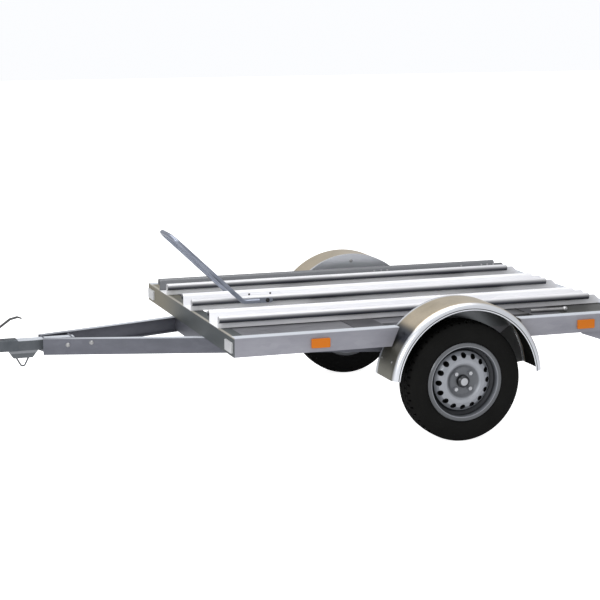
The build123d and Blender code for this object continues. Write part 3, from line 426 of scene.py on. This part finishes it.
def guard_depth(nodes, links):
    """How far a point lies under the mudguard's outer skin, shoulders included."""
    radial = maths(nodes, links, "SUBTRACT", wheel_radius(nodes, links), GUARD_R - GUARD_SHOULDER)
    across = maths(nodes, links, "SUBTRACT", guard_side(nodes, links), GUARD_HALF - GUARD_SHOULDER)
    radial = maths(nodes, links, "MAXIMUM", radial, 0.0)
    across = maths(nodes, links, "MAXIMUM", across, 0.0)
    return maths(nodes, links, "SUBTRACT", GUARD_SHOULDER, hypotenuse(nodes, links, radial, across))


def guard_front_painted_reflection(nodes, links):
    """1 on the mudguards' steep front, which faces the ground ahead and is painted darker as its reflection.
    """
    return product(nodes, links, along(nodes, links, "X", *GUARD_FRONT_X),
                   along(nodes, links, "Z", *GUARD_FRONT_Z))


def guard_band_painted_reflection(nodes, links):
    """1 in a band at the top of that front, where a dark reflection is painted."""
    _, rise = from_axle(nodes, links)
    return product(nodes, links, band(nodes, links, rise, *GUARD_BAND_RISE, GUARD_BAND_SOFT),
                   along(nodes, links, "X", *GUARD_BAND_X))


def guard_shoulder_painted_highlight(nodes, links):
    """1 on the rounded shoulders and the outer lip, where a bright highlight is painted."""
    return stepped(nodes, links, guard_side(nodes, links), *SHOULDER_SIDE)


def guard_cheek_painted_light(nodes, links):
    """1 on the mudguards' flat inner side, inside its bright edge, where pale light is painted."""
    return product(nodes, links, outward(nodes, links, *CHEEK_FACE_Y),
                   stepped(nodes, links, wheel_radius(nodes, links), *CHEEK_EDGE_R))


def cheek_inside_painted_shade(nodes, links):
    """1 on the side of the mudguards' inner cheek that faces the tyre, where shade is painted."""
    return band(nodes, links, off_centre(nodes, links), *CHEEK_BACK_Y, CHEEK_BACK_SOFT)


def guard_inside_painted_shade(nodes, links):
    """1 on the mudguards' inner skin, apart from the cheek, where near-black shade is painted under the
    guard.
    """
    return product(nodes, links, stepped(nodes, links, guard_depth(nodes, links), *INNER_SKIN_DEPTH),
                   outward(nodes, links, *PAST_CHEEK_Y))


def guard_groove_painted_shade(nodes, links):
    """1 in the fold that sets the rolled bead off from the outer lip, where shade is painted in the crease.
    """
    return product(nodes, links, band(nodes, links, wheel_radius(nodes, links), *BEAD_FOLD_R, BEAD_FOLD_SOFT),
                   outward(nodes, links, *BEAD_FOLD_Y))


def channel_side(nodes, links):
    """Distance from the nearest channel's middle plane, on the channels' outer parts."""
    away = off_centre(nodes, links)
    folded = maths(nodes, links, "PINGPONG", away, CHANNEL_SPACING)
    between = maths(nodes, links, "MINIMUM", folded, maths(nodes, links, "SUBTRACT", CHANNEL_SPACING, folded))
    return maths(nodes, links, "MAXIMUM", between, maths(nodes, links, "SUBTRACT", away, CHANNEL_SPACING))


def channel_flank_painted_shade(nodes, links):
    """Rises to 1 down the outer flanks of the three channels, where shade is painted under the rounded tops.
    """
    return product(nodes, links, stepped(nodes, links, channel_side(nodes, links), *FLANK_SIDE),
                   along(nodes, links, "Z", *FLANK_Z))


def channel_foot_painted_shade(nodes, links):
    """1 on the backs of the channels' inner walls, below the skirts, where shade is painted."""
    return product(nodes, links, stepped(nodes, links, channel_side(nodes, links), *FOOT_SIDE),
                   along(nodes, links, "Z", *FOOT_Z))


def far_channel(nodes, links):
    """1 on the right channel's far wall, which lies in the photograph's shade."""
    return along(nodes, links, "Y", *FAR_WALL_Y)


def cross_far_painted_reflection(nodes, links):
    """Rises to 1 towards the front crossmember's right end, where a beige reflection is painted."""
    return along(nodes, links, "Y", *CROSS_FAR_Y)


def cross_edge_painted_highlight(nodes, links):
    """1 along the front crossmember's top front edge, where a pale highlight is painted."""
    return product(nodes, links, along(nodes, links, "Z", *CROSS_EDGE_Z),
                   along(nodes, links, "X", *CROSS_EDGE_X))


def deck_rear_painted_shade(nodes, links):
    """1 on the deck and the inner rails behind the wheels, where dark shade is painted."""
    return along(nodes, links, "X", *DECK_REAR_X)


def top_skin_painted_highlight(edge):
    """1 on the top skin of a rail, beam, shank or rest, above a pair of heights, where a pale highlight is
    painted.
    """
    return lambda nodes, links: along(nodes, links, "Z", *edge)


def rim_well_painted_shade(nodes, links):
    """1 in the well between the rim's disc and its flange, where dark shade is painted."""
    return band(nodes, links, wheel_radius(nodes, links), *RIM_WELL_R, RIM_WELL_SOFT)


def rim_flange_painted_shade(nodes, links):
    """1 on the rim's rolled outer flange, where darker shade is painted."""
    return stepped(nodes, links, wheel_radius(nodes, links), *RIM_FLANGE_R)


def rim_hat_painted_shade(nodes, links):
    """1 on the flat centre of the rim's disc, inside its bright rounded ring, where darker shade is painted.
    """
    return stepped(nodes, links, wheel_radius(nodes, links), *RIM_HAT_R)


def rim_vents_painted_shade(nodes, links):
    """1 in the pressed edge round each vent, where near-black shade is painted."""
    ahead, rise = from_axle(nodes, links)
    turn = maths(nodes, links, "MULTIPLY", maths(nodes, links, "ARCTAN2", rise, ahead), VENTS / math.tau)
    offset = maths(nodes, links, "SUBTRACT", turn, maths(nodes, links, "ROUND", turn))
    across = maths(nodes, links, "MULTIPLY", offset, VENT_RING_R * math.tau / VENTS)
    radial = maths(nodes, links, "SUBTRACT", wheel_radius(nodes, links), VENT_RING_R)
    return stepped(nodes, links, hypotenuse(nodes, links, radial, across), *VENT_EDGE_R)


def hub_back(nodes, links):
    """1 on the hub behind its face."""
    return outward(nodes, links, *HUB_BACK_Y)


def hub_seat_painted_shade(nodes, links):
    """1 in the ring round the hub's cap, where dark shade is painted."""
    return band(nodes, links, wheel_radius(nodes, links), *HUB_SEAT_R, HUB_SEAT_SOFT)


# Painted light and shade, mixed into the finishes' colours by the masks above
tinted(FINISH["cross_zinc_painted_light"], BEIGE_REFLECTION, cross_far_painted_reflection)
tinted(FINISH["cross_zinc_painted_light"], (0.42, 0.40, 0.35), cross_edge_painted_highlight)
tinted(FINISH["dull_zinc"], (0.27, 0.28, 0.30), top_skin_painted_highlight(REST_EDGE_Z))
tinted(FINISH["shank_zinc"], PALE_HIGHLIGHT, top_skin_painted_highlight(SHANK_EDGE_Z))
tinted(FINISH["rail_zinc"], PALE_HIGHLIGHT, top_skin_painted_highlight(RAIL_EDGE_Z))
tinted(FINISH["deck_zinc"], (0.07, 0.07, 0.066), deck_rear_painted_shade)
tinted(FINISH["beam_zinc"], PALE_HIGHLIGHT, top_skin_painted_highlight(BEAM_EDGE_Z))
tinted(FINISH["guard_zinc"], (0.17, 0.165, 0.135), guard_front_painted_reflection)
tinted(FINISH["guard_zinc"], (0.045, 0.05, 0.062), guard_band_painted_reflection)
tinted(FINISH["guard_zinc"], (0.80, 0.82, 0.86), guard_shoulder_painted_highlight)
tinted(FINISH["guard_zinc"], (0.76, 0.79, 0.82), guard_cheek_painted_light)
tinted(FINISH["guard_zinc"], (0.20, 0.21, 0.22), cheek_inside_painted_shade)
tinted(FINISH["guard_zinc"], (0.06, 0.06, 0.065), guard_groove_painted_shade)
tinted(FINISH["guard_zinc"], (0.013, 0.013, 0.012), guard_inside_painted_shade, matt=True)
tinted(FINISH["channel_zinc_painted_light"], (0.035, 0.038, 0.05), channel_flank_painted_shade)
tinted(FINISH["channel_zinc_painted_light"], (0.17, 0.175, 0.185), far_channel)
tinted(FINISH["channel_zinc_painted_light"], (0.16, 0.165, 0.17), channel_foot_painted_shade)
tinted(FINISH["rim_silver"], (0.02, 0.022, 0.026), rim_well_painted_shade, matt=True)
tinted(FINISH["rim_silver"], (0.125, 0.13, 0.14), rim_flange_painted_shade)
tinted(FINISH["rim_silver"], (0.13, 0.137, 0.15), rim_hat_painted_shade)
tinted(FINISH["rim_silver"], (0.01, 0.01, 0.011), rim_vents_painted_shade, matt=True)
tinted(FINISH["hub_zinc"], SHADE, hub_back, matt=True)
tinted(FINISH["hub_zinc"], (0.05, 0.052, 0.056), hub_seat_painted_shade)

NODE_FINISH = {
    "side_rail_front_left": "rail_zinc", "side_rail_front_right": "rail_zinc",
    "side_rail_rear_left": "rail_zinc", "side_rail_rear_right": "rail_zinc",
    "front_crossmember": "cross_zinc_painted_light", "rear_crossmember": "rail_zinc",
    "wide_beam_front": "wide_zinc", "wide_beam_rear": "wide_zinc", "inner_rails": "deck_zinc",
    "deck_sheets": "deck_zinc",
    "wheel_channel_left": "channel_zinc_painted_light", "wheel_channel_centre": "channel_zinc_painted_light",
    "wheel_channel_right": "channel_zinc_painted_light", "wheel_hoop": "hoop_zinc",
    "mudguard_left": "guard_zinc", "mudguard_right": "guard_zinc",
    "drawbar_beam_left": "beam_zinc", "drawbar_beam_right": "beam_zinc", "drawbar_tie": "beam_zinc",
    "drawbar_yoke": "beam_zinc", "coupling_shank": "shank_zinc", "drawbar_rest": "dull_zinc",
    "coupling_head": "cast_black", "coupling_lever": "grip_black",
    "axle_beam": "beam_zinc", "axle_saddles": "beam_zinc", "axle_arm_left": "cast_black",
    "axle_arm_right": "cast_black",
    "rim_left": "rim_silver", "rim_right": "rim_silver", "hub_left": "hub_zinc", "hub_right": "hub_zinc",
    "brake_plate_left": "drum_black", "brake_plate_right": "drum_black", "guard_stays": "bolt_zinc",
    "jockey_clamp": "bolt_zinc", "jockey_sleeve": "bolt_zinc", "jockey_crank": "bolt_zinc",
    "jockey_leg": "bolt_zinc", "jockey_fork": "dull_zinc", "jockey_roller": "jockey_rubber",
    "lamp_bar": "rail_zinc", "tail_lamps": "red", "rear_triangles": "red", "number_plate": "plate_white",
    "side_reflectors": "amber", "front_reflectors": "clear",
}
for node_name, finish_name in NODE_FINISH.items():
    node_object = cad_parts[node_name]
    for material_slot in node_object.material_slots:
        material_slot.material = FINISH[finish_name]


# Pieces

def piece_from(name, mesh_builder, finish, body, smooth_angle=35.0):
    """An object at the origin, its mesh filled by bmesh operators, riding on a body."""
    shape = bmesh.new()
    mesh_builder(shape)
    bmesh.ops.remove_doubles(shape, verts=shape.verts, dist=1e-6)
    bmesh.ops.recalc_face_normals(shape, faces=shape.faces)
    for face in shape.faces:
        face.smooth = True
    limit = math.radians(smooth_angle)
    for edge in shape.edges:
        edge.smooth = len(edge.link_faces) == 2 and edge.calc_face_angle(0.0) < limit
    mesh = bpy.data.meshes.new(name)
    shape.to_mesh(mesh)
    shape.free()
    mesh.materials.append(FINISH[finish])
    piece = bpy.data.objects.new(name, mesh)
    bpy.context.scene.collection.objects.link(piece)
    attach(piece, body)
    return piece


# Tyre section as (across, radius) from its middle: bead and sidewall, then the tread's edge as (across, drop)
# and its grooves as (middle, width)
SIDEWALL = (
    (0.0445, 0.1685), (0.0580, 0.1685), (0.0580, 0.1840), (0.0600, 0.1860), (0.0625, 0.1905),
    (0.0690, 0.2060), (0.0718, 0.2140), (0.0728, 0.2230), (0.0722, 0.2350), (0.0706, 0.2460),
    (0.0715, 0.2470), (0.0690, 0.2560), (0.0650, 0.2660), (0.0610, 0.2725),
)
TREAD_EDGE = ((0.0560, 0.0055), (0.0510, 0.0030))
GROOVES = ((0.0395, 0.0060), (0.0130, 0.0070))
GROOVE_DEPTH = 0.007
GROOVE_SLOPE = 0.001
CROWN_DROP = 0.0030
CROWN_HALF = 0.055
LINER = (0.052, 0.262)

# Tread blocks: one face in four round the wheel is sunk in the shoulder, and one between those in the rib
TREAD_STEPS = 192
NOTCH_EVERY = 4
NOTCH_SHARE = 0.45
NOTCH_TAPER = 0.86
SHOULDER_BLOCKS = (0.043, 0.0635)
SHOULDER_LOW_R = 0.27
RIB_BLOCKS = (0.0170, 0.036)
RIB_LOW_R = TYRE_R - 0.004


def tread_line():
    """Half the tread's outline from the shoulder inward, dipping at each groove."""
    line = [(across, TYRE_R - drop) for across, drop in TREAD_EDGE]
    for middle, width in GROOVES:
        crown = TYRE_R - CROWN_DROP * (middle / CROWN_HALF) ** 2
        line += [
            (middle + width / 2, crown), (middle + width / 2 - GROOVE_SLOPE, crown - GROOVE_DEPTH),
            (middle - width / 2 + GROOVE_SLOPE, crown - GROOVE_DEPTH), (middle - width / 2, crown),
        ]
    return line


def turned_line(shape, line, centre, steps):
    """A closed line of (across, radius) points spun a full turn about the wheels' axle."""
    verts = [shape.verts.new((centre.x, centre.y + across, centre.z + radius)) for across, radius in line]
    edges = [shape.edges.new(pair) for pair in zip(verts, verts[1:] + verts[:1])]
    bmesh.ops.spin(shape, geom=verts + edges, cent=centre, axis=(0, 1, 0), angle=math.tau, steps=steps,
                   use_merge=True)


def tyre_builder(centre):
    """A tyre's section spun about the axle, with the gaps between its tread blocks sunk and tapered."""
    outer = list(SIDEWALL) + tread_line()
    profile = outer + [(-across, radius) for across, radius in reversed(outer)]
    profile += [(-LINER[0], LINER[1]), LINER]

    def build(shape):
        turned_line(shape, profile, centre, TREAD_STEPS)
        shape.faces.ensure_lookup_table()
        notches = []
        for face in shape.faces:
            middle = face.calc_center_median() - centre
            radius = math.hypot(middle.x, middle.z)
            across = abs(middle.y)
            step = round(math.atan2(middle.z, middle.x) / math.tau * TREAD_STEPS - 0.5)
            shoulder = SHOULDER_BLOCKS[0] < across < SHOULDER_BLOCKS[1] and radius > SHOULDER_LOW_R
            rib = RIB_BLOCKS[0] < across < RIB_BLOCKS[1] and radius > RIB_LOW_R
            turn = step % NOTCH_EVERY
            if (shoulder and turn == 0) or (rib and turn == NOTCH_EVERY // 2):
                notches.append(face)
        cut = bmesh.ops.extrude_discrete_faces(shape, faces=notches)["faces"]
        for face in cut:
            middle = face.calc_center_median() - centre
            inward = -Vector((middle.x, 0, middle.z)).normalized()
            bmesh.ops.translate(shape, verts=face.verts, vec=inward * GROOVE_DEPTH * NOTCH_SHARE)
            bmesh.ops.scale(shape, verts=face.verts, vec=(NOTCH_TAPER, 1, NOTCH_TAPER),
                            space=Matrix.Translation(-face.calc_center_median()))

    return build


for side, _ in SIDES:
    tyre = piece_from(f"treaded_tyre_{side}", tyre_builder(WHEEL_CENTRE[side]), "tyre_rubber",
                      f"road_wheel_{side}", 50.0)
    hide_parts(f"tyre_{side}")


# A bolt's parts as shares of its radius
WASHER_R = 1.15
WASHER_HEIGHT = 0.12
WASHER_SIDES = 20
HEAD_R = 0.92
HEAD_SIDES = 6
BOLT_BEVEL = 0.1


def bolt_builder(places, facing, radius, height):
    """Hex bolts with washers: each place is where the washer's underside sits."""
    turn = Vector((0, 0, 1)).rotation_difference(Vector(facing)).to_matrix().to_4x4()
    washer_top = WASHER_HEIGHT * radius

    def build(shape):
        for place in places:
            seat = Matrix.Translation(place) @ turn
            for wide, low, high, sides in (
                (WASHER_R * radius, 0.0, washer_top, WASHER_SIDES),
                (HEAD_R * radius, washer_top, washer_top + height, HEAD_SIDES),
            ):
                made = bmesh.ops.create_cone(
                    shape, cap_ends=True, segments=sides, radius1=wide, radius2=wide, depth=high - low,
                    matrix=seat @ Matrix.Translation((0, 0, (low + high) / 2)),
                )
                rim = {edge for vert in made["verts"] for edge in vert.link_edges}
                top = [edge for edge in rim
                       if all((seat.inverted() @ v.co).z > (low + high) / 2 for v in edge.verts)]
                bmesh.ops.bevel(shape, geom=top, offset=BOLT_BEVEL * radius, affect="EDGES", segments=1,
                                profile=0.5, material=-1)

    return build


def bolts(name, places, facing, radius, height, finish="bolt_zinc"):
    piece_from(name, bolt_builder(places, facing, radius, height), finish, "chassis")


# Hoop feet: two bolts through each side of the centre channel
HOOP_LOW = node_box("wheel_hoop")[0]
HOOP_FOOT_WALL = 0.006
HOOP_BOLT_INSETS = (0.026, 0.126)
HOOP_BOLT_LIFT = 0.012
for side, sign in SIDES:
    face_y = sign * (node_box("wheel_channel_centre")[1].y + HOOP_FOOT_WALL)
    bolts(f"hoop_bolts_{side}",
          [Vector((HOOP_LOW.x + inset, face_y, HOOP_LOW.z + HOOP_BOLT_LIFT)) for inset in HOOP_BOLT_INSETS],
          facing=(0, sign, 0), radius=0.009, height=0.006, finish="drum_black")

# Mudguard rivets: two low on the front of each guard, through its rolled sheet
RIVET_ANGLE = math.radians(18.0)
RIVET_FACING = Vector((math.cos(RIVET_ANGLE), 0, math.sin(RIVET_ANGLE)))
RIVET_Y = (0.678, 0.790)
for side, sign in SIDES:
    bolts(f"guard_rivets_{side}",
          [AXLE_POINT + RIVET_FACING * GUARD_R + Vector((0, sign * away, 0)) for away in RIVET_Y],
          facing=RIVET_FACING, radius=0.0045, height=0.002)

# Lower inner sides of the mudguards: thin sheets that carry the cheek down to both ends of each guard, in a
# near-black finish of painted shade
CHEEK_WALL = 0.002
CHEEK_R = (0.268, GUARD_R - 0.003)
CHEEK_START = math.radians(6.0)
CHEEK_TOP = RAIL_BOTTOM + 0.04 - WHEEL_Z
CHEEK_SWEEP = math.asin(CHEEK_TOP / CHEEK_R[1]) - CHEEK_START
CHEEK_STEPS = 24

# Dark lips round the brake plates, which keep daylight out of the rims' vents: dark sheets that stand for the
# shade behind the vents
LIP_WALL = 0.002
LIP_R = (0.130, 0.150)
LIP_STEPS = 96


def sheet_section(radii, face, wall, sign):
    """A sheet's section as (across, radius) corners, its inner face at a distance from the middle plane."""
    near, far = sign * face, sign * (face + wall)
    return [(near, radii[0]), (near, radii[1]), (far, radii[1]), (far, radii[0])]


def cheek_builder(sign):
    section = sheet_section(CHEEK_R, GUARD_INNER, CHEEK_WALL, sign)

    def build(shape):
        for facing in (1, -1):
            foot = Vector((facing * math.cos(CHEEK_START), 0, math.sin(CHEEK_START)))
            end = shape.faces.new([
                shape.verts.new(AXLE_POINT + foot * radius + Vector((0, across, 0)))
                for across, radius in section
            ])
            bmesh.ops.spin(shape, geom=[end], cent=AXLE_POINT, axis=(0, 1, 0), angle=-facing * CHEEK_SWEEP,
                           steps=CHEEK_STEPS)

    return build


def vent_shade_builder(side, sign):
    face = min(abs(corner.y) for corner in node_box(f"brake_plate_{side}"))
    section = sheet_section(LIP_R, face, LIP_WALL, sign)

    def build(shape):
        turned_line(shape, section, AXLE_POINT, LIP_STEPS)

    return build


for side, sign in SIDES:
    piece_from(f"vent_shade_lip_{side}", vent_shade_builder(side, sign), "drum_black", "chassis")
    piece_from(f"lower_cheek_{side}", cheek_builder(sign), "cheek_zinc_painted_shade", "chassis")

# Small fasteners that show as dots in the photograph: across the channels' inner walls and on the far cheek
INNER_WALL = 0.0655
DOT_DROP = 0.020
CHEEK_BOLT_DROP = 0.036
DOTS = (
    ("wheel_channel_centre", "drum_black", (0.756, 0.648)),
    ("wheel_channel_right", "bolt_zinc", (-0.078, -0.118, -0.152, -0.581, -0.70, -0.735, -0.771)),
)
for node, finish_name, reaches in DOTS:
    wall_y = node_centre(node).y - INNER_WALL
    bolts(f"{node}_bolts", [Vector((AXLE_X + reach, wall_y, CHANNEL_TOP - DOT_DROP)) for reach in reaches],
          facing=(0, 1, 0), radius=0.006, height=0.003, finish=finish_name)
for side, sign in SIDES:
    bolts(f"cheek_bolt_{side}", [Vector((AXLE_X, sign * GUARD_INNER, GUARD_HIGH.z - CHEEK_BOLT_DROP))],
          facing=(0, -sign, 0), radius=0.008, height=0.004)

# Drawbar: two bolts through each beam's web at the yoke, as (ahead of the axle, away, height)
BEAM_BOLTS = ((1.5824, 0.1241, 0.4390), (1.6862, 0.0928, 0.4290))
WEB_FACING = (0.2886, 0.9574)
for side, sign in SIDES:
    bolts(f"beam_bolts_{side}",
          [Vector((AXLE_X + ahead, sign * away, height)) for ahead, away, height in BEAM_BOLTS],
          facing=(WEB_FACING[0], sign * WEB_FACING[1], 0), radius=0.009, height=0.006)


# Floor, lights and camera

FLOOR_SIZE = 60.0
FLOOR_GREY = (0.86, 0.86, 0.86, 1)
FLOOR_GLOW = 0.9
SKY = (0.97, 0.98, 1.0, 1)
SKY_LIGHT = 0.62
SKY_SEEN = 1.0


def stage_floor():
    """A wide pale floor that takes the shadow and looks white to the camera."""
    shape = bmesh.new()
    bmesh.ops.create_grid(shape, x_segments=1, y_segments=1, size=FLOOR_SIZE / 2)
    mesh = bpy.data.meshes.new("floor")
    shape.to_mesh(mesh)
    shape.free()
    floor = bpy.data.objects.new("floor", mesh)
    bpy.context.scene.collection.objects.link(floor)
    material, nodes, links, shader = new_finish("floor_pale")
    shader.inputs["Base Color"].default_value = FLOOR_GREY
    shader.inputs["Roughness"].default_value = 0.9
    shader.inputs["Specular IOR Level"].default_value = 0.0
    shader.inputs["Emission Color"].default_value = (1, 1, 1, 1)
    path = nodes.new("ShaderNodeLightPath")
    glow = maths(nodes, links, "MULTIPLY", path.outputs["Is Camera Ray"], FLOOR_GLOW)
    links.new(glow, shader.inputs["Emission Strength"])
    mesh.materials.append(material)


def studio_world():
    """White to the camera, and a softer white light on everything else."""
    world = bpy.data.worlds.new("studio")
    bpy.context.scene.world = world
    world.use_nodes = True
    nodes, links = world.node_tree.nodes, world.node_tree.links
    background = nodes["Background"]
    background.inputs["Color"].default_value = SKY
    path = nodes.new("ShaderNodeLightPath")
    strength = nodes.new("ShaderNodeMapRange")
    strength.inputs["To Min"].default_value = SKY_LIGHT
    strength.inputs["To Max"].default_value = SKY_SEEN
    links.new(path.outputs["Is Camera Ray"], strength.inputs["Value"])
    links.new(strength.outputs["Result"], background.inputs["Strength"])


def area_lamp(name, place, target, size, power):
    light = bpy.data.lights.new(name, "AREA")
    light.shape = "RECTANGLE"
    light.size, light.size_y = size
    light.energy = power
    lamp = bpy.data.objects.new(name, light)
    lamp.location = place
    lamp.rotation_euler = (Vector(target) - Vector(place)).to_track_quat("-Z", "Y").to_euler()
    bpy.context.scene.collection.objects.link(lamp)


stage_floor()
studio_world()
area_lamp("overhead", place=(AXLE_X + 1.0, 0.5, 5.0), target=(AXLE_X + 0.6, 0, 0.4),
          size=(6.0, 4.0), power=190)
area_lamp("front_side", place=(AXLE_X + 5.5, 5.5, 3.2), target=(AXLE_X + 0.6, 0.3, 0.5),
          size=(3.0, 2.0), power=150)

# The photograph's camera, placed from the wheel's track and the frame's corners
CAMERA_FROM_AXLE = Vector((3.2153, 7.6035, 2.0531))
CAMERA_YAW = 0.3317
CAMERA_PITCH = 0.1868
CAMERA_LENS = 100.86
CAMERA_SENSOR = 36.0
CAMERA_SHIFT = (0.0261, 0.0084)
CAMERA_REACH = 200.0
camera_data = bpy.data.cameras.new("camera")
camera_data.lens = CAMERA_LENS
camera_data.sensor_width = CAMERA_SENSOR
camera_data.shift_x, camera_data.shift_y = CAMERA_SHIFT
camera_data.clip_end = CAMERA_REACH
camera = bpy.data.objects.new("camera", camera_data)
look = Vector((
    -math.sin(CAMERA_YAW) * math.cos(CAMERA_PITCH), -math.cos(CAMERA_YAW) * math.cos(CAMERA_PITCH),
    -math.sin(CAMERA_PITCH),
))
camera.location = Vector((AXLE_X, 0, 0)) + CAMERA_FROM_AXLE
camera.rotation_euler = look.to_track_quat("-Z", "Y").to_euler()
bpy.context.scene.collection.objects.link(camera)
bpy.context.scene.camera = camera
bpy.context.scene.view_settings.view_transform = "Standard"
